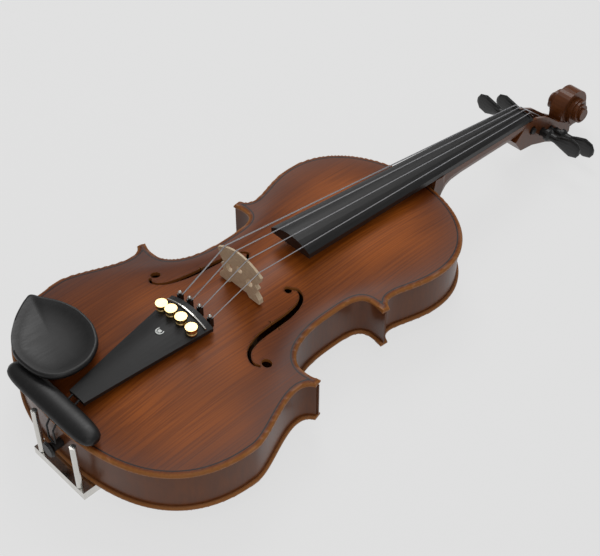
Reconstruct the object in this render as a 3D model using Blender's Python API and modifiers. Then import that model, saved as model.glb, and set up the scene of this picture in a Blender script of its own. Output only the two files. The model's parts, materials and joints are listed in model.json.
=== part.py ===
"""A viola, fully set up: body, neck and scroll, strings, tailpiece with four lever tuners, chinrest.

Sizes are in millimetres in the body's own frame, and become metres as each mesh is made.
In that frame X points to the treble side, Y from the tail of the belly towards the scroll,
and Z = 0 is the top of the belly's edge. The whole instrument hangs on one empty, which
turns it a degree so that the arch of the back and the back of the head lie on a table at
world Z = 0, and puts the world's origin at the middle of the flat that it lies on.
"""
import math

import bmesh
import bpy
import numpy as np
from mathutils import Matrix, Vector

MM = 0.001
GAP = 0.3

# Body
BODY_LENGTH = 406.0
EDGE_THICKNESS = 4.4
RIB_HEIGHT = 35.6
BELLY_RISE = 12.9
BACK_RISE = 13.2
ARCH_MARGIN = 6.0
ARCH_MIDDLE = 205.0
BELLY_THICKNESS = 3.0
BACK_THICKNESS = 3.8
OVERHANG = 2.5
RIB_THICKNESS = 1.0
LINING_DEPTH = 2.0
LINING_HEIGHT = 7.0
BUTTON_RADIUS = 12.0
BUTTON_REACH = 13.0
BELLY_UNDER = -EDGE_THICKNESS
BACK_INSIDE = BELLY_UNDER - RIB_HEIGHT
BACK_OUTSIDE = BACK_INSIDE - EDGE_THICKNESS
GRID_ACROSS = 13.5
GRID_ALONG = 22.5
REST_FLAT_DEPTH = 0.4

# Treble half of the outline, from the middle of the tail to the middle of the neck:
# a point, then its handles towards the point before and the point after
KNOTS = [
    ((0.0, 0.0), (-96.0, 0.0), (96.0, 0.0)),
    ((121.5, 93.5), (0.0, -46.0), (0.0, 20.0)),
    ((109.0, 166.8), (-21.2, -9.9), (0.0, 0.0)),
    ((107.2, 174.1), (0.0, 0.0), (-31.9, -14.4)),
    ((63.4, 223.0), (0.0, -32.0), (0.0, 35.0)),
    ((90.7, 261.2), (-26.3, 6.0), (0.0, 0.0)),
    ((91.7, 268.7), (0.0, 0.0), (-20.3, 7.5)),
    ((93.9, 331.5), (0.0, -33.0), (0.0, 52.0)),
    ((0.0, BODY_LENGTH), (42.0, 0.0), (0.0, 0.0)),
]
SEGMENT_STEPS = [14, 8, 1, 9, 9, 1, 8, 13]
# The same line without its corners, which the arching follows
GUIDE_LOWER = ((121.5, 93.5), (121.5, 148.5), (63.4, 163.0), (63.4, 223.0))
GUIDE_UPPER = ((63.4, 223.0), (63.4, 273.0), (93.9, 283.5), (93.9, 331.5))

# Middle line of the treble f-hole, lower eye last, with the width of the slot on the way
F_LINE = [
    ((25.8, 219.2), 2.4), ((30.5, 223.4), 2.6), ((36.6, 221.4), 3.4), ((40.6, 213.9), 4.6),
    ((43.0, 201.0), 5.8), ((44.2, 184.4), 6.2), ((45.6, 169.6), 5.8), ((48.0, 158.8), 4.6),
    ((51.4, 150.8), 3.6), ((56.4, 146.0), 2.8), ((62.4, 144.4), 2.6), ((67.6, 147.4), 2.4),
]
F_UPPER_EYE = (25.7, 216.7, 3.2)
F_LOWER_EYE = (68.0, 153.6, 4.3)

# Neck and fingerboard
NUT_LINE = 549.3
NUT_END = 555.3
BOARD_END = 243.8
BOARD_EDGE_AT_NUT = -1.1
BOARD_SLOPE = 0.0965
BOARD_SIDE = 5.2
BOARD_HALF_AT_NUT = 12.3
BOARD_HALF_AT_END = 22.7
BOARD_RADIUS = 42.0
HEEL_HALF_TOP = 18.3
HEEL_HALF_BACK = 12.0

# Head
VOLUTE_CENTRE = (631.5, -37.0)
VOLUTE_FALL = 6.9
PEGBOX_HALF_AT_NUT = 12.4

# Pegs: string name, position along and height of the axis, side of its thumb
PEGS = [
    ("c", 557.0, -20.5, -1), ("g", 589.5, -37.5, -1),
    ("d", 600.5, -46.0, 1), ("a", 574.5, -31.5, 1),
]
PEG_REACH = 57.0
PEG_SHAFT_THICK = 4.3

# Strings, from the bass side
STRING_RADIUS = {"c": 0.60, "g": 0.50, "d": 0.45, "a": 0.40}
STRINGS_AT_BRIDGE = {"c": -15.8, "g": -2.5, "d": 10.4, "a": 23.2}
STRINGS_AT_NUT = {"c": -9.0, "g": -3.2, "d": 2.6, "a": 8.4}

# Bridge
BRIDGE_Y = 187.6
BRIDGE_MIDDLE = 1.4
BRIDGE_TOP = 51.6
BRIDGE_RADIUS = 37.0
BRIDGE_HALF_FEET = 23.8
BRIDGE_FOOT_THICKNESS = 4.8
BRIDGE_TOP_THICKNESS = 1.8

# Tailpiece and its tuners
TAILPIECE_NARROW_END = 22.0
TAILPIECE_WIDE_END = 137.0
TUNER_Y = 121.0
TUNER_X = (-18.0, -6.0, 6.0, 18.0)

# Chinrest
CLAMP_Y = -5.3
CLAMP_X = (-18.5, 29.5)
BARREL_RADIUS = 2.75
DISH_MIDDLE = (-58.0, 42.0)
ARM_REACH = 52.6

for old in list(bpy.data.objects):
    bpy.data.objects.remove(old, do_unlink=True)

parts = bpy.data.collections.new("viola")
cutters = bpy.data.collections.new("viola_cutters")
bpy.context.scene.collection.children.link(parts)
bpy.context.scene.collection.children.link(cutters)
frame = bpy.data.objects.new("viola_frame", None)
parts.objects.link(frame)


def material(name, colour, roughness, metallic=0.0):
    """A Principled material of one colour."""
    made = bpy.data.materials.new(name)
    made.use_nodes = True
    shader = made.node_tree.nodes["Principled BSDF"]
    shader.inputs["Base Color"].default_value = (*colour, 1.0)
    shader.inputs["Roughness"].default_value = roughness
    shader.inputs["Metallic"].default_value = metallic
    made.diffuse_color = (*colour, 1.0)
    return made


SPRUCE = material("varnished_spruce", (0.42, 0.12, 0.03), 0.3)
MAPLE = material("varnished_maple", (0.30, 0.09, 0.03), 0.3)
PLAIN_WOOD = material("plain_wood", (0.62, 0.45, 0.27), 0.6)
BRIDGE_WOOD = material("bridge_maple", (0.66, 0.47, 0.28), 0.5)
EBONY = material("ebony", (0.015, 0.014, 0.014), 0.35)
NICKEL = material("nickel", (0.75, 0.74, 0.70), 0.2, 1.0)
GOLD = material("gold_plate", (0.80, 0.60, 0.25), 0.25, 1.0)
BLACK_METAL = material("black_metal", (0.03, 0.03, 0.03), 0.3, 0.6)
STRING_STEEL = material("wound_string", (0.60, 0.60, 0.62), 0.3, 1.0)


def add(name, mesh, look, origin=(0, 0, 0), cutter=False):
    """An object from a bmesh in millimetres, with its own origin at the given point."""
    bmesh.ops.recalc_face_normals(mesh, faces=mesh.faces)
    if mesh.calc_volume(signed=True) < 0:
        bmesh.ops.reverse_faces(mesh, faces=mesh.faces)
    bmesh.ops.translate(mesh, verts=mesh.verts, vec=-Vector(origin))
    bmesh.ops.scale(mesh, verts=mesh.verts, vec=(MM, MM, MM))
    data = bpy.data.meshes.new(name)
    mesh.to_mesh(data)
    mesh.free()
    made = bpy.data.objects.new(name, data)
    made.location = Vector(origin) * MM
    made.parent = frame
    if cutter:
        made.hide_render = True
        made.display_type = "WIRE"
        cutters.objects.link(made)
        return made
    data.materials.append(look)
    data.shade_smooth()
    data.set_sharp_from_angle(angle=math.radians(35))
    parts.objects.link(made)
    return made


def combine(target, tool, operation="DIFFERENCE"):
    """A Boolean modifier on target."""
    step = target.modifiers.new(tool.name, "BOOLEAN")
    step.object = tool
    step.operation = operation
    step.solver = "EXACT"


def loft(sections):
    """A closed bmesh through loops of equal length, capped at both ends."""
    mesh = bmesh.new()
    rings = [[mesh.verts.new(tuple(map(float, p))) for p in ring] for ring in sections]
    count = len(rings[0])
    for near, far in zip(rings, rings[1:]):
        for i in range(count):
            j = (i + 1) % count
            mesh.faces.new((near[i], near[j], far[j], far[i]))
    mesh.faces.new(rings[0])
    mesh.faces.new(rings[-1])
    return mesh


def prism(outline, low, high):
    """A flat outline in X and Y, given height from low to high."""
    return loft([[(x, y, low) for x, y in outline], [(x, y, high) for x, y in outline]])


def round_bar(start, end, radius, end_radius=None, sides=20):
    """A cylinder or cone between two points."""
    a, b = Vector(start), Vector(end)
    mesh = bmesh.new()
    turn = (b - a).to_track_quat("Z", "Y").to_matrix().to_4x4()
    place = Matrix.Translation((a + b) / 2) @ turn
    bmesh.ops.create_cone(mesh, cap_ends=True, segments=sides, radius1=radius,
                          radius2=end_radius or radius, depth=(b - a).length, matrix=place)
    return mesh


def box(low, high):
    """A box between two corners."""
    size = np.subtract(high, low)
    middle = np.add(high, low) / 2
    mesh = bmesh.new()
    shape = Matrix.Translation(Vector(middle)) @ Matrix.Diagonal((*size, 1.0))
    bmesh.ops.create_cube(mesh, size=1.0, matrix=shape)
    return mesh


def turned(name, profile, look, origin, axis):
    """A profile of (radius, height), top to bottom, turned by a Screw modifier.

    axis is the way that the profile's height points in the body's frame."""
    data = bpy.data.meshes.new(name)
    points = [(r * MM, 0.0, h * MM) for r, h in profile]
    data.from_pydata(points, [(i, i + 1) for i in range(len(points) - 1)], [])
    made = bpy.data.objects.new(name, data)
    data.materials.append(look)
    made.location = Vector(origin) * MM
    made.rotation_euler = Vector(axis).to_track_quat("Z", "Y").to_euler()
    made.parent = frame
    spin = made.modifiers.new("turn", "SCREW")
    spin.steps = 20
    spin.render_steps = 20
    spin.use_merge_vertices = True
    spin.merge_threshold = 0.00001
    spin.use_smooth_shade = True
    parts.objects.link(made)
    return made


def tube(name, points, radius, look):
    """A round cord along points, as a curve with filled caps."""
    curve = bpy.data.curves.new(name, "CURVE")
    curve.dimensions = "3D"
    curve.bevel_depth = radius * MM
    curve.bevel_resolution = 2
    curve.use_fill_caps = True
    line = curve.splines.new("POLY")
    line.points.add(len(points) - 1)
    for knot, point in zip(line.points, points):
        knot.co = (*(c * MM for c in point), 1.0)
    made = bpy.data.objects.new(name, curve)
    curve.materials.append(look)
    made.parent = frame
    parts.objects.link(made)
    return made


def bezier(p0, p1, p2, p3, steps):
    """Points of a cubic curve, with the last left out."""
    t = np.arange(steps)[:, None] / steps
    p0, p1, p2, p3 = (np.array(p, float) for p in (p0, p1, p2, p3))
    return ((1 - t) ** 3 * p0 + 3 * (1 - t) ** 2 * t * p1
            + 3 * (1 - t) * t ** 2 * p2 + t ** 3 * p3)


def segment(index, steps):
    """One segment of the outline, its last point included, and its inward normals."""
    (a, _, out), (b, back, _) = KNOTS[index], KNOTS[index + 1]
    ends = (np.array(a), np.add(a, out), np.add(b, back), np.array(b))
    line = np.vstack([bezier(*ends, steps), [b]])
    way = np.gradient(line, axis=0)
    way /= np.linalg.norm(way, axis=1)[:, None]
    return line, np.column_stack([-way[:, 1], way[:, 0]])


def half_outline():
    """The treble half from the tail to the neck, without the neck's own point."""
    return np.vstack([segment(i, n)[0][:-1] for i, n in enumerate(SEGMENT_STEPS)])


def full_outline():
    """The whole outline, anticlockwise seen from above."""
    right = half_outline()
    left = right[1:][::-1] * (-1, 1)
    return np.vstack([right, [[0.0, BODY_LENGTH]], left])


def offset_line(index, steps, inward):
    """A segment of the outline moved inward."""
    line, normal = segment(index, steps)
    return line + normal * inward


guide = np.vstack([segment(0, 24)[0][:-1], bezier(*GUIDE_LOWER, 24),
                   bezier(*GUIDE_UPPER, 24), segment(7, 24)[0]])


def arch(x, y, rise):
    """Height of a plate's arch over its edge: a squared cosine across, a flat dome along."""
    half = np.interp(y, guide[:, 1], guide[:, 0])
    u = min(abs(x) / max(half - ARCH_MARGIN, 1.0), 1.0)
    reach = ARCH_MIDDLE if y < ARCH_MIDDLE else BODY_LENGTH - ARCH_MIDDLE
    v = min(abs(y - ARCH_MIDDLE) / (reach - ARCH_MARGIN), 1.0)
    across = math.cos(math.pi / 2 * u ** 1.15) ** 2
    along = math.cos(math.pi / 2 * v ** 2) ** 1.6 if v < 1 else 0.0
    return rise * across * along


def plate(name, outline, outer, inner, look):
    """A flat outline cut into a grid, given its thickness, then lifted to its arching."""
    mesh = bmesh.new()
    mesh.faces.new([mesh.verts.new((x, y, 0)) for x, y in outline])
    for normal, step, ends in (((1, 0, 0), GRID_ACROSS, 8), ((0, 1, 0), GRID_ALONG, 19)):
        start = -ends if normal[0] else 0
        for i in range(start, ends + 1):
            point = Vector(normal) * (i * step + 0.01)
            bmesh.ops.bisect_plane(mesh, geom=mesh.verts[:] + mesh.edges[:] + mesh.faces[:],
                                   plane_co=point, plane_no=normal, dist=0.0001)
    bmesh.ops.triangulate(mesh, faces=mesh.faces)
    made = bmesh.ops.extrude_face_region(mesh, geom=mesh.faces[:])
    upper = {v for v in made["geom"] if isinstance(v, bmesh.types.BMVert)}
    for vert in mesh.verts:
        height = outer if vert in upper else inner
        vert.co.z = height(vert.co.x, vert.co.y)
    return add(name, mesh, look)


def belly_top(x, y):
    """The outside of the belly."""
    return arch(x, y, BELLY_RISE)


def belly_under(x, y):
    """The inside of the belly: flat where it is glued, thinner under the arch."""
    rise = arch(x, y, BELLY_RISE)
    return rise - EDGE_THICKNESS + (EDGE_THICKNESS - BELLY_THICKNESS) * min(rise / 3, 1)


def back_outside(x, y):
    """The outside of the back."""
    return BACK_OUTSIDE - arch(x, y, BACK_RISE)


def back_inside(x, y):
    """The inside of the back."""
    rise = arch(x, y, BACK_RISE)
    return BACK_INSIDE - rise - (EDGE_THICKNESS - BACK_THICKNESS) * min(rise / 3, 1)


def slot_outline(side):
    """The f-hole's slot: its middle line widened by half its width to both sides."""
    line = np.array([p for p, _ in F_LINE])
    half = np.array([w for _, w in F_LINE])[:, None] / 2
    way = np.gradient(line, axis=0)
    way /= np.linalg.norm(way, axis=1)[:, None]
    across = np.column_stack([-way[:, 1], way[:, 0]]) * half
    return np.vstack([line + across, (line - across)[::-1]]) * (side, 1)


def build_plates():
    """The belly with its f-holes, and the back with its button."""
    belly = plate("belly", full_outline(), belly_top, belly_under, SPRUCE)
    low, high = -8.0, 20.0
    for side in (-1, 1):
        tag = "treble" if side > 0 else "bass"
        combine(belly, add(tag + "_f_slot", prism(slot_outline(side), low, high), None,
                           cutter=True))
        for x, y, radius in (F_UPPER_EYE, F_LOWER_EYE):
            eye = round_bar((side * x, y, low), (side * x, y, high), radius, sides=16)
            combine(belly, add(tag + "_f_eye", eye, None, cutter=True))
    outline = full_outline()
    top = BODY_LENGTH
    reach = BUTTON_REACH - BUTTON_RADIUS
    keep = outline[(outline[:, 1] < top - 3) | (abs(outline[:, 0]) > BUTTON_RADIUS + 4)]
    arc = [(BUTTON_RADIUS * math.cos(a), top + reach + BUTTON_RADIUS * math.sin(a))
           for a in np.linspace(0, math.pi, 11)]
    split = int(np.argmax(keep[:, 1] * (keep[:, 0] > 0)))
    outline = np.vstack([keep[:split + 1], arc, keep[split + 1:]])
    back = plate("back", outline, back_inside, back_outside, MAPLE)
    return belly, back


def build_ribs():
    """Five ribs with their linings: thin bands that follow the outline, inside its overhang."""
    top, low = BELLY_UNDER - GAP, BACK_INSIDE + GAP
    deep = OVERHANG + RIB_THICKNESS

    def band(spans):
        rings = []
        for index, steps, side, backward, first, last in spans:
            outer = offset_line(index, steps, OVERHANG)[first:last] * (side, 1)
            inner = offset_line(index, steps, deep)[first:last] * (side, 1)
            ledge = offset_line(index, steps, deep + LINING_DEPTH)[first:last] * (side, 1)
            part = [[(*o, top), (*o, low), (*e, low), (*i, low + LINING_HEIGHT),
                     (*i, top - LINING_HEIGHT), (*e, top)] for o, i, e in zip(outer, inner, ledge)]
            rings += part[::-1] if backward else part
        return loft(rings)

    add("rib_lower", band([(1, 10, -1, True, 1, 10), (0, 14, -1, True, 0, 15),
                           (0, 14, 1, False, 1, 15), (1, 10, 1, False, 1, 10)]), MAPLE)
    for side, tag in ((-1, "bass"), (1, "treble")):
        add("rib_waist_" + tag, band([(3, 10, side, False, 1, 11),
                                      (4, 10, side, False, 1, 9)]), MAPLE)
        add("rib_upper_" + tag, band([(6, 10, side, False, 2, 11),
                                      (7, 14, side, False, 1, 12)]), MAPLE)
        for name, into, out in (("lower", 1, 3), ("upper", 4, 6)):
            seat = deep + LINING_DEPTH + GAP
            sides = np.vstack([offset_line(into, 10, seat)[5:9], offset_line(out, 10, seat)[2:5]])
            add("corner_block_%s_%s" % (name, tag), prism(sides * (side, 1), low, top), PLAIN_WOOD)
    add("neck_block", box((-20, 381, low), (20, 396, top)), PLAIN_WOOD)
    add("end_block", box((-24, 8, low), (24, 21, top)), PLAIN_WOOD)
    bar = [[(-22, y, belly_under(-20, y) - GAP - 1), (-17, y, belly_under(-20, y) - GAP - 1),
            (-17, y, -12), (-22, y, -12)] for y in range(60, 341, 20)]
    add("bass_bar", loft(bar), PLAIN_WOOD)
    post = round_bar((20, 182, back_inside(20, 182) + 1), (20, 182, belly_under(20, 182) - 1), 3.5)
    add("soundpost", post, PLAIN_WOOD)


def board_half(y):
    """Half width of the fingerboard."""
    share = (NUT_LINE - y) / (NUT_LINE - BOARD_END)
    return BOARD_HALF_AT_NUT + share * (BOARD_HALF_AT_END - BOARD_HALF_AT_NUT)


def board_glue(y):
    """Height of the fingerboard's flat underside."""
    return BOARD_EDGE_AT_NUT - BOARD_SIDE + (NUT_LINE - y) * BOARD_SLOPE


def neck_ring(y, depth, box_shape):
    """A D-shaped section of the neck, or the heel's tapered one."""
    ring = []
    for a in np.linspace(0, math.pi, 13):
        power = 0.25 if box_shape else 0.8
        z = board_glue(y) - depth * math.sin(a) ** power
        half = board_half(y)
        if box_shape:
            half = np.interp(z, (-40, 0, 9), (HEEL_HALF_BACK, HEEL_HALF_TOP, 17.4))
        ring.append((math.copysign(abs(math.cos(a)) ** power, math.cos(a)) * half, y, z))
    return ring


def build_neck():
    """Neck, pegbox and scroll in one, the fingerboard and the nut."""
    floor = BACK_INSIDE + GAP
    rings = [neck_ring(y, board_glue(y) - floor, True) for y in (407.5, 417)]
    rings += [neck_ring(y, d, False) for y, d in
              ((421, 38), (426, 27), (434, 21), (450, 18.5), (500, 17), (540, 16), (549, 20))]
    neck = add("neck", loft(rings), MAPLE)
    rim = [(546, -6.8), (562, -8.5), (582, -18.5), (602, -35), (617, -45)]
    under = [(530, -21), (541, -36), (560, -40), (584, -50), (600, -59), (614, -63.5)]
    shape = rim + [(628, -48), (628, -62)] + under[::-1]
    half = [PEGBOX_HALF_AT_NUT - (y - 546) * 0.045 for y, _ in shape]
    head = loft([[(s * h, y, z) for h, (y, z) in zip(half, shape)] for s in (-1, 1)])
    combine(neck, add("pegbox_block", head, None, cutter=True), "UNION")
    for half_width, radius in ((7.5, 20.5), (12.5, 13.5), (17.0, 9.5), (20.0, 6.2)):
        y, z = VOLUTE_CENTRE
        turn = round_bar((-half_width, y, z), (half_width, y, z), radius, sides=32)
        combine(neck, add("volute_turn", turn, None, cutter=True), "UNION")
    for side in (-1, 1):
        rings = []
        for share in np.linspace(0, 1, 40):
            angle = math.radians(70 + 650 * share)
            radius = 20.9 - VOLUTE_FALL * (70 + 650 * share) / 360
            height = 6.7 + 12.9 * math.sin(share * math.pi / 2) ** 2
            ring = []
            for inward, up in ((0, -4.5), (0, 0), (0.6, 0.4), (1.4, 0.3), (2.8, -4.5)):
                reach = max(radius - inward, 0.5)
                ring.append((side * max(height + up, 1.0), y + reach * math.cos(angle),
                             z + reach * math.sin(angle)))
            rings.append(ring)
        combine(neck, add("scroll_ridge", loft(rings), None, cutter=True), "UNION")
    hollow = [(556, 5), (556, -12), (551, -14), (551, -33), (580, -41), (596, -53), (607.5, -53), (608, 5)]
    inside = loft([[(s * (9.6 - (y - 556) * 0.08), y, z) for y, z in hollow] for s in (-1, 1)])
    combine(neck, add("pegbox_hollow", inside, None, cutter=True))
    for name, y, z, _ in PEGS:
        hole = round_bar((-30, y, z), (30, y, z), PEG_SHAFT_THICK + GAP)
        combine(neck, add("peg_hole_" + name, hole, None, cutter=True))

    def board_ring(y, extra, drop, start):
        half = board_half(y)
        across = np.linspace(-half, half, 11)
        arc = math.sqrt(BOARD_RADIUS ** 2 - half ** 2)
        edge = board_glue(y) + BOARD_SIDE + extra - drop
        top = [(x, y, edge + math.sqrt(BOARD_RADIUS ** 2 - x * x) - arc) for x in across]
        return top + [(half, y, start(y)), (-half, y, start(y))]

    def seat(y):
        return board_glue(y) + GAP

    rings = [board_ring(y, 0, 0, seat) for y in np.linspace(BOARD_END, NUT_LINE - GAP, 7)]
    add("fingerboard", loft(rings), EBONY)
    rings = [board_ring(y, 0.8, drop, seat) for y, drop in
             ((NUT_LINE, 0), (551, 0.3), (NUT_END, 5.2))]
    add("nut", loft(rings), EBONY)


def build_pegs():
    """Four pegs, each with the sleeve of string wound on it."""
    for name, y, z, side in PEGS:
        profile = [(-14.0, 3.4, 3.4), (13.0, 4.1, 4.1), (17.0, 4.2, 4.2), (17.5, 6.2, 6.2),
                   (20.5, 6.2, 6.2), (23, 4.0, 4.0), (29, 4.0, 4.0), (36, 7.5, 3.2),
                   (46, 11, 2.6), (54, 8.5, 2.2), (PEG_REACH, 3.5, 1.2)]
        turn = [(math.cos(a), math.sin(a)) for a in np.linspace(0, 2 * math.pi, 17)[:-1]]
        rings = [[(side * x, y + t * c, z + w * s) for c, s in turn] for x, w, t in profile]
        add("peg_" + name, loft(rings), EBONY, (0, y, z))
        start = STRINGS_AT_NUT[name] * 0.45
        sleeve = [(4.0 + GAP + 0.8, 1.6), (4.0 + GAP + 0.8, -1.6), (4.0 + GAP, -1.6),
                  (4.0 + GAP, 1.6), (4.0 + GAP + 0.8, 1.6)]
        turned("winding_" + name, sleeve, STRING_STEEL, (start, y, z), (1, 0, 0))


def build_bridge():
    """The bridge: a flat plate with feet, heart and kidneys, thinner towards its top."""
    def top(x):
        return BRIDGE_TOP - (x - 0.8) ** 2 / (2 * BRIDGE_RADIUS)
    m = BRIDGE_MIDDLE
    base = belly_top(m + BRIDGE_HALF_FEET, BRIDGE_Y) + 3.5
    right = [(m + 9, base + 3), (m + 12, base - 0.2), (m + 23.8, base - 0.2), (m + 23.4, base + 4),
             (m + 19, base + 9), (m + 22, base + 15), (m + 18.5, base + 18), (m + 23.5, base + 23)]
    crown = [(x, top(x)) for x in np.linspace(m + 25.6, m - 25.6, 13)]
    left = [(2 * m - x, z) for x, z in right[::-1]]

    def flat(outline):
        def thick(z):
            share = (z - base) / (BRIDGE_TOP - base)
            return (BRIDGE_FOOT_THICKNESS * (1 - share) + BRIDGE_TOP_THICKNESS * share) / 2
        return loft([[(x, BRIDGE_Y + s * thick(z), z) for x, z in outline] for s in (-1, 1)])
    bridge = add("bridge", flat(right + crown + left), BRIDGE_WOOD)
    for x, z, radius in ((m - 12, base + 16, 4), (m + 12, base + 16, 4), (m, base + 22, 3.5)):
        hole = round_bar((x, BRIDGE_Y - 9, z), (x, BRIDGE_Y + 9, z), radius, sides=14)
        combine(bridge, add("bridge_opening", hole, None, cutter=True))


def tail_top(x, y):
    """Top of the tailpiece: rising towards the bridge, rounded across."""
    share = (y - TAILPIECE_NARROW_END) / (TAILPIECE_WIDE_END - TAILPIECE_NARROW_END)
    return 13 + 14.5 * share - x * x / 100


def build_tail():
    """Tailpiece, fret, tailgut, saddle, end button and the four tuners."""
    rings = []
    for y in np.linspace(TAILPIECE_NARROW_END, TAILPIECE_WIDE_END, 6):
        half = 9 + 16 * (y - TAILPIECE_NARROW_END) / (TAILPIECE_WIDE_END - TAILPIECE_NARROW_END)
        across = np.linspace(-half, half, 11)
        rings.append([(x, y, tail_top(x, y)) for x in across]
                     + [(x, y, tail_top(x, y) - 3.5) for x in across[::-1]])
    tailpiece = add("tailpiece", loft(rings), EBONY)
    fret = [[(x, 131 + dy, tail_top(x, 131) + dz) for dy, dz in
             ((-0.8, GAP), (-0.5, 2), (0.5, 2), (0.8, GAP + 0.1))] for x in np.linspace(-23, 23, 11)]
    add("tailpiece_fret", loft(fret), NICKEL)
    for name, x in zip("cgda", TUNER_X):
        z = tail_top(x, TUNER_Y)
        hole = round_bar((x, TUNER_Y, z - 9), (x, TUNER_Y, z + 9), 2.2, sides=16)
        combine(tailpiece, add("tuner_hole_" + name, hole, None, cutter=True))
        profile = [(5, 7), (5, 3.5), (1.4, 3.5), (1.4, -7.5), (0, -7.5)]
        turned("tuner_screw_" + name, [(0, 7)] + profile, GOLD, (x, TUNER_Y, z), (0, 0, 1))
        lever = [(TUNER_Y - 3, -8.9), (TUNER_Y - 3, -8.1), (136, -6.5), (138.2, -5), (138.2, 3.4),
                 (142, 3.4), (142, -6), (138, -9.1)]
        arm = loft([[(x + s * 2, y, z + dz) for y, dz in lever] for s in (-1, 1)])
        add("tuner_lever_" + name, arm, BLACK_METAL, (x, 137, z - 8))
    gut = [(-4, 21.6, 12), (-4, 14, 9), (-4, 5, 4.8), (-4, -1, 3.9), (-4, -5, -2), (-4, -5, -16)]
    back_way = [(-x, y, z) for x, y, z in gut[::-1]]
    add("saddle", box((-17, 0.5, 0.6), (17, 4.5, 2.4)), EBONY)
    tube("tailgut", gut + [(0, -5, -18.0)] + back_way, 0.9, BLACK_METAL)
    turned("end_button", [(0, 13), (6, 13), (7, 11), (4, 8.4), (4, -0.2), (0, -0.2)], EBONY,
           (0, 2.0, -24), (0, -1, 0))


def build_chinrest():
    """Chinrest dish, its arm over the tail, the clamp foot and the two threaded barrels."""
    edge = [(-105, 56.5), (-97.6, 60.9), (-90.3, 65.4), (-82.5, 69.4), (-73.4, 72.5),
            (-62.6, 74.2), (-48.9, 73.5), (-39.3, 71.1), (-28.4, 65.6), (-21.5, 59.2),
            (-16, 50.2), (-14, 42), (-14.5, 30), (-19, 19.5), (-40, 19), (-69, 19), (-78.1, 19.5),
            (-85.9, 25.7), (-93.2, 33.7), (-99.5, 42.9), (-103.6, 50.4)]
    rim = [(0.9, 15.8), (0.98, 16.6), (1.0, 18.6), (0.985, 21.2), (0.95, 21.9), (0.8, 19.9),
           (0.5, 17.9), (0.2, 17.2)]
    middle = np.array(DISH_MIDDLE)
    add("chinrest", loft([[(*(middle + (np.array(p) - middle) * share), height) for p in edge]
                          for share, height in rim]), EBONY)
    rings = []
    for x in (-62, -60.5, -57, -50, -30, 0, 15, 30, 37, 40.5, 42):
        swell = (1.0 - (abs(x + 10) / ARM_REACH) ** 6) ** 0.35
        rings.append([(x, 7.0 + 10.3 * swell * math.cos(a), 9.2 + 6.1 * swell * math.sin(a))
                      for a in np.linspace(0, 2 * math.pi, 17)[:-1]])
    bracket = add("chinrest_bracket", loft(rings), EBONY)
    channel = box((-6, -9, 2), (6, 23, 12.6))
    combine(bracket, add("gut_channel", channel, None, cutter=True))
    for tag, x in zip(("bass", "treble"), CLAMP_X):
        sleeve = [(0, 23.8), (BARREL_RADIUS, 23.8), (BARREL_RADIUS, -23.8), (0, -23.8)]
        turned("clamp_barrel_" + tag, sleeve, NICKEL, (x, CLAMP_Y, -21), (0, 0, 1))
    add("chinrest_foot", box((-26, -8, -53), (37, 9, BACK_OUTSIDE - 0.8)), NICKEL)


def build_strings():
    """Four strings, each whole from its lever over the bridge and nut to its peg."""
    for (name, x), (_, y, z, _) in zip(zip("cgda", TUNER_X), [PEGS[0], PEGS[1], PEGS[2], PEGS[3]]):
        r = STRING_RADIUS[name]
        over, nut = STRINGS_AT_BRIDGE[name], STRINGS_AT_NUT[name]
        crest = BRIDGE_TOP - (over - 0.8) ** 2 / (2 * BRIDGE_RADIUS) + r + 2 * GAP
        rim = BOARD_EDGE_AT_NUT + 0.8 + 1.84 - nut * nut / 84 + r + GAP
        tie = tail_top(x, TUNER_Y) + 1.5
        end = nut * 0.45
        tube("string_" + name, [(x, 142.4 + r, tie), (over, BRIDGE_Y, crest),
                                (nut, NUT_LINE - 1, rim + 0.1), (nut, 551.5, rim),
                                (nut * 0.95, 554, rim - 1.2),
                                (end, y + 2.5, z + 6.0 + r)], r, STRING_STEEL)


def settle():
    """Turn and lift the frame until back and head lie level, and cut the back's rest flat."""
    head_y, head_z = 614.0, -63.7
    spots = [(y, back_outside(0, y)) for y in range(100, 300)]
    tilt = 0.0
    for _ in range(20):
        low_y, low_z = min(spots, key=lambda s: s[0] * math.sin(tilt) + s[1] * math.cos(tilt))
        tilt = math.atan((low_z + REST_FLAT_DEPTH + 0.2 - head_z) / (head_y - low_y))
    c, s = math.cos(tilt), math.sin(tilt)
    frame.rotation_euler = (tilt, 0, 0)
    height = low_y * s + low_z * c + REST_FLAT_DEPTH
    frame.location = (0, -(low_y * c - low_z * s) * MM, -height * MM)
    print("tilt %.4f rad, frame at %.3f %.3f mm" % (tilt, -(low_y * c - low_z * s), -height))
    table = add("table", box((-150, -100, -20), (150, 100, 0)), None, cutter=True)
    table.parent = None
    return table


belly, back = build_plates()
build_ribs()
build_neck()
build_pegs()
build_bridge()
build_tail()
build_chinrest()
build_strings()
combine(back, settle())
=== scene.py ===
# %% [markdown]
# # A viola in soft studio light
# The solid pieces arrive ready made, in metres, and this script gives them their finish.
# First come the loaded pieces.

# %% Load the solid pieces
import json
import math

import bmesh
import bpy
import numpy as np
from mathutils import Matrix, Vector

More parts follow.
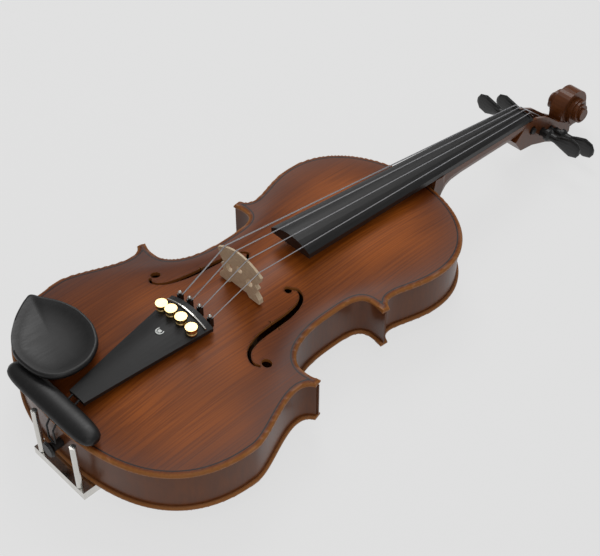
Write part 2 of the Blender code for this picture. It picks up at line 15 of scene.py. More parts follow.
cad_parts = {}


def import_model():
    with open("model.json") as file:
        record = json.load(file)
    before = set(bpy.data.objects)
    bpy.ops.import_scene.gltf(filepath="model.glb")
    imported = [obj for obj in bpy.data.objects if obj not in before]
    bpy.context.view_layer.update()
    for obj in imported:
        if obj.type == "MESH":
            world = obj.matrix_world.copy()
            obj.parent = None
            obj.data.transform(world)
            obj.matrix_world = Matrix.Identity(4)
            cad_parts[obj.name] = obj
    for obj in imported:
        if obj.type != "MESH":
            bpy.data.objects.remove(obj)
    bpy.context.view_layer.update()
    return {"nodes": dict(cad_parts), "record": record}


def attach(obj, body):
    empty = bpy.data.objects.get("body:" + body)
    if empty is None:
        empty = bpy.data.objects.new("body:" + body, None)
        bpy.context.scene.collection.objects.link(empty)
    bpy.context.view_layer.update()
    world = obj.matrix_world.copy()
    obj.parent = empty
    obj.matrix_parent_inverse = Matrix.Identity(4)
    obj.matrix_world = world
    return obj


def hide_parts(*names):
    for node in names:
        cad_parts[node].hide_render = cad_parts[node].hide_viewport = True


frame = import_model()
nodes = frame["nodes"]

# %% [markdown]
# The body has a frame of its own, in millimetres: X to the treble side, Y from the tail to the
# scroll, Z up from the belly's edge. It lies tilted by less than a degree, so that the back's
# arch and the head both touch the table. One matrix takes its millimetres to metres.

# %% The body's own frame
TILT = 0.0147
FRAME_SHIFT = (0, -0.14483, 0.054842)
MM = 0.001
PLACE = Matrix.Translation(FRAME_SHIFT) @ Matrix.Rotation(TILT, 4, "X")


def world(x, y, z):
    """A point of the body's frame in metres."""
    return PLACE @ (Vector((x, y, z)) * MM)


print("the body's frame starts at", tuple(round(c, 4) for c in world(0, 0, 0)))

# %% [markdown]
# The photograph looks down on the belly from the tail's treble side. A camera is set by where
# it stands, the way it looks and its lens, all in the body's frame.

# %% Camera
CAMERA_SPOT = (567.88, -296.31, 760.54)
RIGHT = Vector((0.69525, 0.71877, 0.00224))
DOWN = Vector((0.50662, -0.48783, -0.71089))
AHEAD = Vector((-0.50987, 0.49538, -0.7033))
FOCAL_LENGTH = 77.84
SENSOR_WIDTH = 36.0
lens = bpy.data.cameras.new("photo_camera")
lens.lens = FOCAL_LENGTH
lens.sensor_width = SENSOR_WIDTH
camera = bpy.data.objects.new("photo_camera", lens)
facing = Matrix((RIGHT, -DOWN, -AHEAD)).transposed().to_4x4()
stand = Matrix.Translation(world(*CAMERA_SPOT))
camera.matrix_world = stand @ Matrix.Rotation(TILT, 4, "X") @ facing
bpy.context.collection.objects.link(camera)
bpy.context.scene.camera = camera
print("camera %.2f m from the body's frame" % (camera.location - world(0, 0, 0)).length)

# %% [markdown]
# Finishes are patterns worked out in the shader. A small class wraps a node's socket, so that
# an expression such as 1 - mask * 0.5 adds the maths nodes that it needs.


# %% Shader helpers
class Value:
    """A shader socket that takes part in plain arithmetic."""

    def __init__(self, finish, socket):
        self.finish, self.socket = finish, socket

    def join(self, operation, first, second):
        """A maths node that works on two values or numbers."""
        return self.finish.node("ShaderNodeMath", {"operation": operation}, {0: first, 1: second})

    def __add__(self, other):
        return self.join("ADD", self, other)

    def __sub__(self, other):
        return self.join("SUBTRACT", self, other)

    def __mul__(self, other):
        return self.join("MULTIPLY", self, other)

    def __rsub__(self, other):
        return self.join("SUBTRACT", other, self)


class Finish:
    """A material, built node by node around one Principled shader."""

    def __init__(self, name, specular=0.5):
        self.material = bpy.data.materials.new(name)
        self.material.use_nodes = True
        self.nodes = self.material.node_tree.nodes
        self.shader = self.nodes["Principled BSDF"]
        self.shader.inputs["Specular IOR Level"].default_value = specular

    def node(self, kind, settings, inputs, output=0):
        """A node of any type, its settings first, then the values or links of its sockets."""
        made = self.nodes.new(kind)
        for key, value in settings.items():
            setattr(made, key, value)
        for key, value in inputs.items():
            self.feed(made.inputs[key], value)
        return Value(self, made.outputs[output])

    def feed(self, socket, value):
        """Links a value to a socket, or writes a plain number or colour into it."""
        if isinstance(value, Value):
            self.material.node_tree.links.new(value.socket, socket)
        else:
            socket.default_value = value

    def noise(self, stretch, detail=4.0):
        """Noise on object coordinates, stretched by a scale for each axis."""
        where = self.node("ShaderNodeTexCoord", {}, {}, output="Object")
        place = self.node("ShaderNodeMapping", {}, {"Vector": where, "Scale": stretch})
        return self.node("ShaderNodeTexNoise", {}, {"Vector": place, "Scale": 1.0, "Detail": detail})

    def ramp(self, value, low, high):
        """0 where the value is below low, 1 where it is above high, and even in between."""
        return self.node("ShaderNodeMapRange", {},
                         {"Value": value, "From Min": low, "From Max": high})

    def blend(self, amount, first, second):
        """A colour between two, by a mask. Each is a value or a plain red, green and blue."""
        first, second = (c if isinstance(c, Value) else (*c, 1) for c in (first, second))
        return self.node("ShaderNodeMix", {"data_type": "RGBA"},
                         {"Factor": amount, 6: first, 7: second}, output=2)

    def bump(self, height, strength, reach):
        """A bump from a height mask."""
        return self.node("ShaderNodeBump", {}, {"Strength": strength, "Distance": reach,
                                                "Height": height})

    def done(self, **sockets):
        """Feeds the shader's own sockets and gives the material."""
        for key, value in sockets.items():
            self.feed(self.shader.inputs[key.replace("_", " ").title()], value)
        return self.material


print("shader helpers are ready")

# %% [markdown]
# The table and lights stay out of the object's way: one pale floor that reads as an even grey
# to the camera, and three large soft lamps that leave broad highlights on varnish and ebony.
# To rays from the camera, in mirrors and through glass, the floor mostly glows in the
# backdrop's grey, and its small matt share takes a faint shadow. To all other rays it is matt.

# %% Floor and lamps
BACKDROP = (0.80, 0.80, 0.80, 1)
GLOW_SHARE = 0.85
FLOOR_GREY = (0.7, 0.7, 0.7, 1)
FLOOR_SIZE = 30
FLOOR_HEIGHT = -0.0005
SKY_STRENGTH = 0.3
LAMPS = (
    ("key", (-0.9, 0.9, 1.5), 11, 0.9),
    ("fill", (1.2, -0.9, 1.2), 4, 1.2),
    ("top", (0.1, 0.1, 1.8), 4, 1.0),
)
bpy.ops.mesh.primitive_plane_add(size=FLOOR_SIZE, location=(0, 0, FLOOR_HEIGHT))
floor = bpy.context.object
floor.name = "floor"
paint = Finish("floor_paint")
glow = paint.node("ShaderNodeEmission", {}, {"Color": BACKDROP})
rays = paint.nodes.new("ShaderNodeLightPath")
direct, mirrored, passing = (Value(paint, rays.outputs["Is %s Ray" % kind])
                             for kind in ("Camera", "Glossy", "Transmission"))
mixed = paint.node("ShaderNodeMixShader", {}, {0: (direct + mirrored + passing) * GLOW_SHARE,
                                               1: Value(paint, paint.shader.outputs[0]), 2: glow})
paint.feed(paint.nodes["Material Output"].inputs["Surface"], mixed)
floor.data.materials.append(paint.done(base_color=FLOOR_GREY, roughness=0.9))
sky = bpy.data.worlds.new("studio")
sky.use_nodes = True
sky.node_tree.nodes["Background"].inputs["Color"].default_value = BACKDROP
sky.node_tree.nodes["Background"].inputs["Strength"].default_value = SKY_STRENGTH
bpy.context.scene.world = sky
for name, place, power, size in LAMPS:
    lamp = bpy.data.lights.new(name, "AREA")
    lamp.energy = power
    lamp.size = size
    holder = bpy.data.objects.new(name, lamp)
    holder.location = place
    holder.rotation_euler = (-Vector(place)).to_track_quat("-Z", "Y").to_euler()
    bpy.context.collection.objects.link(holder)
bpy.context.scene.view_settings.view_transform = "Standard"
print(len(LAMPS), "lamps, sky at", SKY_STRENGTH)

# %% [markdown]
# Spruce shows straight dark lines along the belly under red-brown varnish that has worn
# towards amber. Maple shows curl: bands that lie across the back, ribs and neck.


# %% Wood under varnish and plain finishes
def varnished(name, dark, light, fine, broad, coat):
    """Two noises: one stretched along the grain for its lines, one broad for worn varnish."""
    made = Finish(name, specular=0.25)
    lines = made.noise(fine)
    cloud = made.noise(broad, 2.0)
    colour = made.blend(lines * 0.55 + cloud * 0.75 - 0.15, dark, light)
    return made.done(base_color=colour, roughness=lines * 0.16 + 0.26, coat_weight=coat,
                     coat_roughness=0.15, normal=made.bump(lines, 0.12, 0.0003))


def plain(name, dark, light, stretch, low, high, metallic=0.0):
    """One noise between two close colours, which also varies the sheen and a faint relief."""
    made = Finish(name)
    mask = made.noise(stretch)
    return made.done(base_color=made.blend(mask, dark, light), metallic=metallic,
                     roughness=mask * (high - low) + low, normal=made.bump(mask, 0.1, 0.0002))


SPRUCE = varnished("spruce_varnish", (0.16, 0.028, 0.008), (0.52, 0.16, 0.035),
                   (900, 6, 900), (9, 6, 9), 0.5)
MAPLE = varnished("maple_varnish", (0.035, 0.010, 0.004), (0.24, 0.07, 0.016),
                  (40, 260, 60), (14, 9, 14), 0.15)
EBONY = plain("ebony", (0.004, 0.004, 0.004), (0.013, 0.012, 0.012), (700, 20, 700), 0.34, 0.55)
BRIDGE = plain("bridge_maple", (0.55, 0.38, 0.22), (0.92, 0.76, 0.55), (300, 900, 900), 0.4, 0.6)
BARE = plain("bare_wood", (0.5, 0.33, 0.17), (0.7, 0.52, 0.3), (300, 20, 300), 0.5, 0.7)
GOLD = plain("gold_plate", (0.7, 0.46, 0.16), (0.92, 0.70, 0.34), (200, 200, 900),
             0.18, 0.34, 1.0)
NICKEL = plain("nickel_plate", (0.6, 0.58, 0.54), (0.8, 0.79, 0.76), (200, 200, 40),
               0.15, 0.3, 1.0)
BLACK = plain("black_plate", (0.01, 0.01, 0.01), (0.04, 0.04, 0.04), (200, 200, 200),
              0.2, 0.35, 0.6)
STEEL = plain("wound_steel", (0.35, 0.35, 0.37), (0.72, 0.72, 0.74), (300, 2600, 300),
              0.25, 0.4, 1.0)
PEARL = plain("pearl", (0.45, 0.5, 0.5), (0.85, 0.85, 0.8), (400, 400, 400), 0.2, 0.3)
print("finishes:", [made.name for made in bpy.data.materials])

# %% [markdown]
# Each loaded piece takes the finish of its material slot, so no piece is forgotten. The corner
# blocks are varnished, since their outer tips show between the ribs.

# %% Finish for every loaded piece
FINISHES = {
    "spruce_varnish": SPRUCE, "maple_varnish": MAPLE, "plain_wood": BARE, "bridge_wood": BRIDGE,
    "string_metal": STEEL, "gold_metal": GOLD, "black_metal": BLACK, "gut_plastic": EBONY,
    "nickel_metal": NICKEL, "ebony": EBONY,
}
for entry in frame["record"]["subparts"]:
    shows = entry["node"].startswith("corner_block")
    look = MAPLE if shows else FINISHES[entry["material_slot"]]
    piece = nodes[entry["node"]]
    piece.data.materials.clear()
    piece.data.materials.append(look)

# %% [markdown]
# Most new pieces are rings of points joined by faces. Every new piece is also tied to the body
# that it moves with, given its finish, and set in place of the loaded piece it refines.


# %% Mesh helpers
def sheet_of(rings):
    """Faces that join rings of equal length, closed round each ring and over both ends."""
    n, count = len(rings), len(rings[0])
    i, j = np.meshgrid(np.arange(n - 1), np.arange(count), indexing="ij")
    k = (j + 1) % count
    quads = np.stack([i * count + j, i * count + k, (i + 1) * count + k, (i + 1) * count + j], -1)
    caps = [list(range(count)), list(range((n - 1) * count, n * count))]
    points = [world(*p) for ring in rings for p in ring]
    return points, quads.reshape(-1, 4).tolist() + caps


def settle(name, data, look, body, replaced):
    """An object from a mesh, with its finish, body and the piece that it replaces."""
    data.materials.append(look)
    made = bpy.data.objects.new(name, data)
    bpy.context.collection.objects.link(made)
    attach(made, body)
    if replaced:
        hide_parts(replaced)
    return made


def solid(name, rings, look, body="root", replaced=None, sharp=40):
    """A closed piece from rings, its faces turned outwards, smooth up to an angle."""
    points, faces = sheet_of(rings)
    data = bpy.data.meshes.new(name)
    data.from_pydata(points, [], faces)
    mesh = bmesh.new()
    mesh.from_mesh(data)
    bmesh.ops.recalc_face_normals(mesh, faces=mesh.faces)
    if mesh.calc_volume(signed=True) < 0:
        bmesh.ops.reverse_faces(mesh, faces=mesh.faces)
    mesh.to_mesh(data)
    mesh.free()
    data.shade_smooth()
    data.set_sharp_from_angle(angle=math.radians(sharp))
    print(name, len(faces), "faces")
    return settle(name, data, look, body, replaced)


def circle(steps):
    """Angles once round, without the last, which is the first again."""
    return np.linspace(0, 2 * math.pi, steps + 1)[:-1]


# %% [markdown]
# The belly and back decide how the viola looks, so each is made again much finer than the
# loaded piece. The outline is a chain of cubic curves. The arch is a squared cosine across,
# which leaves the flat margin and its hollow, and a flatter cosine along the length.

# %% Outline and arching
BODY = 406.0
KNOTS = [
    ((0, 0), (-96, 0), (96, 0)), ((121.5, 93.5), (0, -46), (0, 20)),
    ((109, 166.8), (-21.2, -9.9), (0, 0)), ((107.2, 174.1), (0, 0), (-31.9, -14.4)),
    ((63.4, 223), (0, -32), (0, 35)), ((90.7, 261.2), (-26.3, 6), (0, 0)),
    ((91.7, 268.7), (0, 0), (-20.3, 7.5)), ((93.9, 331.5), (0, -33), (0, 52)),
    ((0, BODY), (42, 0), (0, 0)),
]
STEPS = (44, 24, 3, 26, 26, 3, 24, 40)
BUTTON_RADIUS = 12
BUTTON_SHIFT = 1
# The outline's points this near the crest, in Y and in X, give way to the button.
BUTTON_ROOM = (3, 14)
ARCH_MIDDLE = 205
MARGIN = 6
ACROSS_POWER = 1.15
ALONG_POWER = 1.6


def cubic(a, b, c, d, steps):
    """A cubic curve's points: the four control points, weighted by powers of t and 1 - t."""
    t = np.arange(steps)[:, None] / steps
    a, b, c, d = (np.array(p, float) for p in (a, b, c, d))
    return (1 - t) ** 3 * a + 3 * (1 - t) ** 2 * t * b + 3 * (1 - t) * t * t * c + t ** 3 * d


def outline(button):
    """The treble half, then its mirror image, with a round button at the neck if asked for."""
    half = np.vstack([cubic(p, np.add(p, out), np.add(q, back), q, n)
                      for ((p, _, out), (q, back, _), n) in zip(KNOTS, KNOTS[1:], STEPS)])
    crest = [[0.0, BODY]]
    if button:
        half = half[(half[:, 1] < BODY - BUTTON_ROOM[0]) | (half[:, 0] > BUTTON_ROOM[1])]
        angle = np.linspace(0, math.pi, 25)
        crest = np.column_stack([BUTTON_RADIUS * np.cos(angle),
                                 BODY + BUTTON_SHIFT + BUTTON_RADIUS * np.sin(angle)])
    return np.vstack([half, crest, half[:0:-1] * (-1, 1)])


# The outline without its corners, which the arch follows.
GUIDE = np.vstack([cubic((0, 0), (96, 0), (121.5, 47.5), (121.5, 93.5), 40),
                   cubic((121.5, 93.5), (121.5, 148.5), (63.4, 163), (63.4, 223), 40),
                   cubic((63.4, 223), (63.4, 273), (93.9, 283.5), (93.9, 331.5), 40),
                   cubic((93.9, 331.5), (93.9, 383.5), (42, BODY), (0, BODY), 40)])


def arching(x, y, rise):
    """Height over the edge: the squared cosine of the share of the half width, times the
    cosine of the squared share of the half length."""
    half = np.interp(y, GUIDE[:, 1], GUIDE[:, 0])
    reach = np.where(y < ARCH_MIDDLE, ARCH_MIDDLE, BODY - ARCH_MIDDLE) - MARGIN
    u = np.clip(abs(x) / np.maximum(half - MARGIN, 1), 0, 1)
    v = np.clip(abs(y - ARCH_MIDDLE) / reach, 0, 1)
    across = np.cos(math.pi / 2 * u ** ACROSS_POWER) ** 2
    return rise * across * np.maximum(np.cos(math.pi / 2 * v * v), 0) ** ALONG_POWER


print("outline of", len(outline(False)), "points, widest", 2 * GUIDE[:, 0].max(), "mm")

# %% [markdown]
# A plate is its outline with two narrow bands inside it for the rounded edge, cut by a fine
# grid, doubled for its thickness and lifted. Each point keeps its distance from the edge as
# an attribute, from which the finish draws the inlaid line and the worn rim.

# %% Plates
BANDS = (0.45, 1.15)
GRID = 2.2
GRID_REACH = ((0, -123, 123), (1, 3, 418))
# A small shift keeps the grid's cuts off the outline's own points.
GRID_SHIFT = 0.013
ROUNDING = 1.6
UNDER_ROUNDING = 0.7
MIDDLE_THICKNESS = 3.0
# The plate has thinned to its middle's thickness where the arch is this high.
THINNING_RISE = 3
EDGE_THICKNESS = 4.4


def to_line(points, line):
    """Distance to a closed line: each point's foot on each stretch, held between its ends."""
    run = np.roll(line, -1, 0) - line
    off = points[:, None] - line
    share = np.clip((off * run).sum(-1) / (run * run).sum(-1), 0, 1)
    return np.sqrt(((off - share[..., None] * run) ** 2).sum(-1).min(1))


def cut_flat(line):
    """A flat face inside a line, with its bands, cut by the grid into triangles."""
    mesh = bmesh.new()
    face = mesh.faces.new([mesh.verts.new((x, y, 0)) for x, y in line])
    for width in BANDS:
        bmesh.ops.inset_region(mesh, faces=[face], thickness=width, use_even_offset=True)
    for axis, start, stop in GRID_REACH:
        normal = Vector((axis == 0, axis == 1, 0))
        for place in np.arange(start, stop, GRID):
            bmesh.ops.bisect_plane(mesh, geom=mesh.verts[:] + mesh.edges[:] + mesh.faces[:],
                                   plane_co=normal * (place + GRID_SHIFT), plane_no=normal,
                                   dist=0.0001)
    bmesh.ops.triangulate(mesh, faces=mesh.faces)
    return mesh


def plate(name, line, rise, top, outward, look, replaced):
    """A closed plate. Top is the outside's height at the edge, and outward is 1 or -1.

    The edge falls away as a quarter circle does: the drop is the radius, less the root of the
    radius squared less the squared depth inside the rounding.
    """
    mesh = cut_flat(line)
    lower = {v for v in bmesh.ops.extrude_face_region(mesh, geom=mesh.faces[:])["geom"]
             if isinstance(v, bmesh.types.BMVert)}
    bmesh.ops.recalc_face_normals(mesh, faces=mesh.faces)
    inside = np.array([v in lower for v in mesh.verts])
    flat = np.array([v.co[:2] for v in mesh.verts])
    edge = np.concatenate([to_line(part, line) for part in np.array_split(flat, 60)])
    high = arching(flat[:, 0], flat[:, 1], rise)
    near = np.maximum(ROUNDING - edge, 0)
    soft = ROUNDING - np.sqrt(np.maximum(ROUNDING ** 2 - near ** 2, 0))
    thinned = np.minimum(high / THINNING_RISE, 1) * (EDGE_THICKNESS - MIDDLE_THICKNESS)
    under = high - EDGE_THICKNESS + thinned + UNDER_ROUNDING * soft
    z = top + outward * np.where(inside, under, high - soft)
    data = bpy.data.meshes.new(name)
    for vert, height in zip(mesh.verts, z):
        vert.co = world(vert.co.x, vert.co.y, float(height))
    bmesh.ops.recalc_face_normals(mesh, faces=mesh.faces)
    mesh.to_mesh(data)
    mesh.free()
    kept = data.attributes.new("edge", "FLOAT", "POINT")
    kept.data.foreach_set("value", edge.astype(np.float32))
    data.shade_smooth()
    print(name, len(data.polygons), "faces")
    return settle(name, data, look, "root", replaced)


# %% [markdown]
# Varnish over the plates: grain lines along the length, darker towards the rim, a thin inlaid
# line 4 mm in, and a tan rim where hands have worn the edge.

# %% Finish of the plates
INLAY = (0.02, 0.008, 0.006)
WORN = (0.42, 0.16, 0.04)


def plate_finish(name, deep, warm, stretch, cloud_stretch):
    """Grain lines and a broad cloud of worn varnish, then bands by distance from the edge."""
    made = Finish(name, specular=0.22)
    edge = made.node("ShaderNodeAttribute", {"attribute_name": "edge"}, {}, output=2)
    lines = made.noise(stretch, 3.0)
    sharp = made.ramp(lines, 0.36, 0.6)
    cloud = made.noise(cloud_stretch, 2.0)
    centre = made.ramp(edge, 8.0, 45.0)
    mask = (sharp * 0.4 + 0.6) * (cloud * 1.3 - 0.2) * (centre * 0.55 + 0.45)
    inlaid = made.ramp(edge, 3.7, 3.9) * (1 - made.ramp(edge, 4.9, 5.1))
    colour = made.blend(inlaid, made.blend(mask, deep, warm), INLAY)
    worn = (1 - made.ramp(edge, 1.0, 3.0)) * (cloud * 0.8 + 0.4)
    return made.done(base_color=made.blend(worn, colour, WORN), roughness=lines * 0.18 + 0.34,
                     coat_weight=0.08, coat_roughness=0.3,
                     normal=made.bump(sharp, 0.1, 0.0002))


BELLY_LOOK = plate_finish("belly_varnish", (0.05, 0.007, 0.002), (0.62, 0.155, 0.014),
                          (800, 5, 200), (9, 7, 9))
BACK_LOOK = plate_finish("back_varnish", (0.04, 0.01, 0.005), (0.30, 0.085, 0.022),
                         (25, 210, 40), (12, 8, 12))
new_belly = plate("belly_carved", outline(False), 12.9, 0.0, 1, BELLY_LOOK,
                  "belly")
plate("back_carved", outline(True), 13.2, -44.4, -1, BACK_LOOK, "back")

# %% [markdown]
# Each f-hole is a slot that swells in the middle and ends in two round eyes. It is cut from
# the belly by a flat form of that outline, made from the slot's middle line and its widths.

# %% The f-holes
F_WAY = np.array([(25.8, 219.2), (30.5, 223.4), (36.6, 221.4), (40.6, 213.9), (43, 201),
                  (44.2, 184.4), (45.6, 169.6), (48, 158.8), (51.4, 150.8), (56.4, 146),
                  (62.4, 144.4), (67.6, 147.4)])
F_WIDTH = np.array([2.4, 2.6, 3.4, 4.6, 5.8, 6.2, 5.8, 4.6, 3.6, 2.8, 2.6, 2.4])
F_EYES = ((25.7, 216.7, 3.2), (68, 153.6, 4.3))
F_NICKS = ((40.0, 183.6), (48.2, 185.4))
NICK_LENGTH = 1.6
NICK_WIDTH = 0.8
F_STEPS = 6
CUT_HEIGHTS = (-9, 20)


def rounded(points, fine):
    """A smooth line through points: each stretch is a cubic that meets its neighbours in one
    tangent, which is the average of theirs."""
    pull = np.gradient(points, axis=0)
    t = (np.arange(fine) / fine)[:, None, None]
    p, q, m, n = points[:-1], points[1:], pull[:-1], pull[1:]
    run = (2 * t ** 3 - 3 * t * t + 1) * p + (t ** 3 - 2 * t * t + t) * m \
        + (3 * t * t - 2 * t ** 3) * q + (t ** 3 - t * t) * n
    return np.vstack([run.transpose(1, 0, 2).reshape(-1, 2), points[-1:]])


def cutter(name, flat):
    """An upright form over a flat outline, which cuts the belly and is then removed."""
    mesh = bmesh.new()
    rings = [[mesh.verts.new(world(x, y, z)) for x, y in flat] for z in CUT_HEIGHTS]
    for i in range(len(flat)):
        j = (i + 1) % len(flat)
        mesh.faces.new((rings[0][i], rings[0][j], rings[1][j], rings[1][i]))
    mesh.faces.new(rings[0][::-1])
    mesh.faces.new(rings[1])
    bmesh.ops.recalc_face_normals(mesh, faces=mesh.faces)
    data = bpy.data.meshes.new(name)
    mesh.to_mesh(data)
    mesh.free()
    made = bpy.data.objects.new(name, data)
    bpy.context.collection.objects.link(made)
    step = new_belly.modifiers.new(name, "BOOLEAN")
    step.object = made
    step.solver = "EXACT"
    return made


way = rounded(F_WAY, F_STEPS)
width = np.interp(np.arange(len(way)) / F_STEPS, np.arange(len(F_WAY)), F_WIDTH)
along = np.gradient(way, axis=0)
along /= np.linalg.norm(along, axis=1)[:, None]
across = np.column_stack([-along[:, 1], along[:, 0]]) * width[:, None] / 2
slot_line = np.vstack([way + across, (way - across)[::-1]])
round_trip = circle(24)
cutters = []
for side in (-1, 1):
    cutters.append(cutter("f_slot", slot_line * (side, 1)))
    for x, y, radius in F_EYES:
        eye = np.column_stack([x + radius * np.cos(round_trip), y + radius * np.sin(round_trip)])
        cutters.append(cutter("f_eye", eye * (side, 1)))
    for x, y in F_NICKS:
        nick = np.array([(x - NICK_LENGTH, y), (x, y - NICK_WIDTH),
                         (x + NICK_LENGTH, y), (x, y + NICK_WIDTH)])
        cutters.append(cutter("f_nick", nick * (side, 1)))
bpy.context.view_layer.update()
depsgraph = bpy.context.evaluated_depsgraph_get()
cut = bpy.data.meshes.new_from_object(new_belly.evaluated_get(depsgraph))
new_belly.modifiers.clear()
new_belly.data = cut
cut.set_sharp_from_angle(angle=math.radians(50))
for used in cutters:
    bpy.data.objects.remove(used)
print("belly after its f-holes:", len(cut.polygons), "faces")

# %% [markdown]
# The ribs are thin bands of maple between the plates. Each follows the outline 2.5 mm inside
# it and runs right out to the corners, where two ribs meet in a narrow end.

# %% Ribs
RIB_INSET = 2.5
RIB_THICKNESS = 1.0
RIB_TOP = -4.45
RIB_BOTTOM = -39.95
HEEL_START = 402.5


def rib(name, stretches, replaced):
    """A band along stretches of the outline, which are moved inward along their normals."""
    rows = []
    for index, side, backwards in stretches:
        (p, _, out), (q, into, _) = KNOTS[index], KNOTS[index + 1]
        line = np.vstack([cubic(p, np.add(p, out), np.add(q, into), q, 30), [q]])
        step = np.gradient(line, axis=0)
        step /= np.linalg.norm(step, axis=1)[:, None]
        inward = np.column_stack([-step[:, 1], step[:, 0]])
        row = np.stack([line + inward * RIB_INSET,
                        line + inward * (RIB_INSET + RIB_THICKNESS)], 1) * (side, 1)
        row = row[row[:, 0, 1] < HEEL_START]
        rows.append(row[::-1] if backwards else row)
    row = np.vstack([rows[0]] + [r[1:] for r in rows[1:]])
    section = ((0, RIB_TOP), (0, RIB_BOTTOM), (1, RIB_BOTTOM), (1, RIB_TOP))
    rings = [[(*pair[face], height) for face, height in section] for pair in row]
    solid(name, rings, MAPLE, replaced=replaced)


rib("fine_rib_lower", [(1, -1, True), (0, -1, True), (0, 1, False), (1, 1, False)], "rib_lower")
for side, tag in ((-1, "bass"), (1, "treble")):
    rib("fine_rib_waist_" + tag, [(3, side, False), (4, side, False)], "rib_waist_" + tag)
    rib("fine_rib_upper_" + tag, [(6, side, False), (7, side, False)], "rib_upper_" + tag)

# %% [markdown]
# The chinrest is a smooth dish of ebony beside the tailpiece, with an arm across the tail
# that bridges the tailgut. The dish is a closed line drawn in towards its middle, ring by
# ring, with a rounded rim. The arm is a round section carried across and drawn in at its ends.

# %% Chinrest
DISH = np.array([(-105, 56.5), (-97.6, 60.9), (-90.3, 65.4), (-82.5, 69.4), (-73.4, 72.5),
                 (-62.6, 74.2), (-48.9, 73.5), (-39.3, 71.1), (-28.4, 65.6), (-21.5, 59.2),
                 (-16, 50.2), (-14, 42), (-14.5, 30), (-19, 19), (-30, 11), (-46, 8), (-60, 9),
                 (-69, 12.9), (-78.1, 18.6), (-85.9, 25.7), (-93.2, 33.7), (-99.5, 42.9),
                 (-103.6, 50.4), (-105, 56.5)])
DISH_MIDDLE = np.array([-58.0, 42.0])
# How far out from the middle each ring lies, as a share, and its height.
DISH_RINGS = [(0.9, 16.0), (0.97, 16.6), (1.0, 18.6), (0.992, 20.8), (0.965, 21.9),
              (0.92, 21.7), (0.8, 19.9), (0.6, 18.2), (0.35, 17.4), (0.12, 17.1)]
DISH_STEPS = 5
ARM_ENDS = (-62, 42)
ARM_MIDDLE = -10
# A little over half the arm's length, so that its ends keep some width.
ARM_REACH = 52.6
ARM_CENTRE = (7.0, 9.2)
ARM_HALF_SIZE = (10.5, 6.2)

# One point more at either end lets the closed outline pass evenly through its start.
closed = np.vstack([DISH[-2], DISH, DISH[1]])
line = rounded(closed, DISH_STEPS)[DISH_STEPS:-DISH_STEPS - 1]
rings = [[(*(DISH_MIDDLE + (p - DISH_MIDDLE) * share), height) for p in line]
         for share, height in DISH_RINGS]
solid("chinrest_dish", rings, EBONY, replaced="chinrest", sharp=60)
rings = []
for x in np.linspace(*ARM_ENDS, 40):
    swell = (1 - (abs(x - ARM_MIDDLE) / ARM_REACH) ** 6) ** 0.35
    rings.append([(x, ARM_CENTRE[0] + ARM_HALF_SIZE[0] * swell * math.cos(a),
                   ARM_CENTRE[1] + ARM_HALF_SIZE[1] * swell * math.sin(a)) for a in circle(24)])
solid("chinrest_arm", rings, EBONY, replaced="chinrest_bracket", sharp=60)

# %% [markdown]
# The scroll winds in twice and stands out further at each turn. On each side a rounded ridge
# follows the spiral: its radius falls steadily, and its height over the middle plane grows.

# %% Scroll
SCROLL_Y = 631.5
SCROLL_Z = -37
SPIRAL_START = 70
SPIRAL_DEGREES = 650
SPIRAL_RADIUS = 20.3
DRAWN_IN_EACH_TURN = 6.9
SPIRAL_HEIGHT = 6.6
SPIRAL_RISE = 13.0
HIGHEST = 19.95
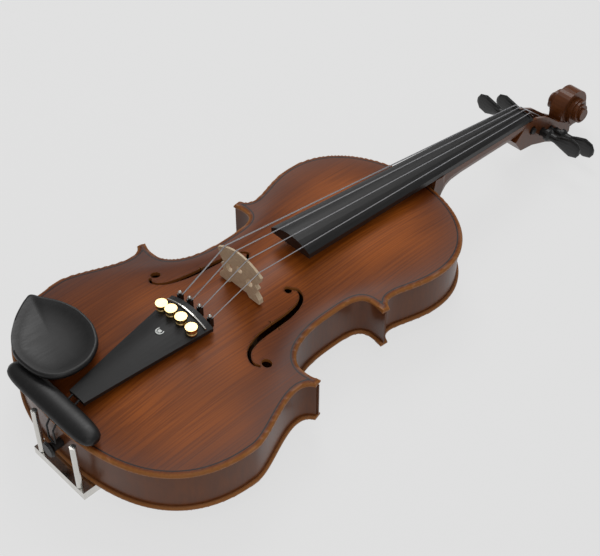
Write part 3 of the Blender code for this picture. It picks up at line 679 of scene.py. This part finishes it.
# The ridge's section: inward from the spiral, and up from its height.
RIDGE = ((0, -4.5), (0, 0), (0.5, 0.4), (1.3, 0.35), (2.6, -1.2), (3.2, -4.5))
for side, tag in ((-1, "bass"), (1, "treble")):
    rings = []
    for share in np.linspace(0, 1, 90):
        degrees = SPIRAL_START + SPIRAL_DEGREES * share
        angle = math.radians(degrees)
        radius = SPIRAL_RADIUS - DRAWN_IN_EACH_TURN * degrees / 360
        height = SPIRAL_HEIGHT + SPIRAL_RISE * math.sin(share * math.pi / 2) ** 2
        ring = []
        for inward, up in RIDGE:
            reach = max(radius - inward, 0.4)
            ring.append((side * min(max(height + up, 1.0), HIGHEST),
                         SCROLL_Y + reach * math.cos(angle), SCROLL_Z + reach * math.sin(angle)))
        rings.append(ring)
    solid("scroll_ridge_" + tag, rings, MAPLE)

# %% [markdown]
# Round trim is a profile turned about its own axis: one ring for each radius and height. Four
# gold ring nuts sit on the tailpiece under the thumbscrews, a silver ball lies in each lever's
# fork, and an inlaid ring with a dot decorates the tailpiece's middle.

# %% Tailpiece trim
TUNER_X = (-18, -6, 6, 18)
TUNER_Y = 121
BALL_Y = 140
BALL_LIFT = 5.2
BALL_RADIUS = 1.7
EYE_Y = 104
TAIL_START = 22
TAIL_LENGTH = 115
TAIL_HEIGHT = 13
TAIL_RISE = 14.5
RING_NUT = ((2.3, 0.1), (4.4, 0.1), (4.6, 0.6), (4.6, 1.8), (4.2, 2.3), (2.3, 2.3))
EYE_RING = ((3.6, -0.2), (3.6, 0.15), (2.7, 0.15), (2.7, -0.2))
EYE_DOT = ((1.7, -0.2), (1.7, 0.15))


def lathe(name, profile, middle, look, body="root", steps=32):
    """Radius and height pairs, each turned through a full circle about the body's own Z."""
    x, y, z = middle
    rings = [[(x + radius * math.cos(a), y + radius * math.sin(a), z + height)
              for a in circle(steps)] for radius, height in profile]
    solid(name, rings, look, body)


def tail_top(x, y):
    """Height of the tailpiece's rounded top: it rises steadily and falls with x squared."""
    return TAIL_HEIGHT + TAIL_RISE * (y - TAIL_START) / TAIL_LENGTH - x * x / 100


ball = [(BALL_RADIUS * math.cos(a), BALL_RADIUS * math.sin(a)) for a in np.linspace(-1.5, 1.5, 11)]
for string, x in zip("cgda", TUNER_X):
    seat = tail_top(x, TUNER_Y)
    lathe("ring_nut_" + string, RING_NUT, (x, TUNER_Y, seat), GOLD)
    lathe("string_ball_" + string, ball, (x, BALL_Y, seat + BALL_LIFT), NICKEL,
          "tuner_lever_" + string, 20)
eye_middle = (0, EYE_Y, tail_top(0, EYE_Y))
lathe("eye_ring", EYE_RING, eye_middle, PEARL)
lathe("eye_dot", EYE_DOT, eye_middle, PEARL)
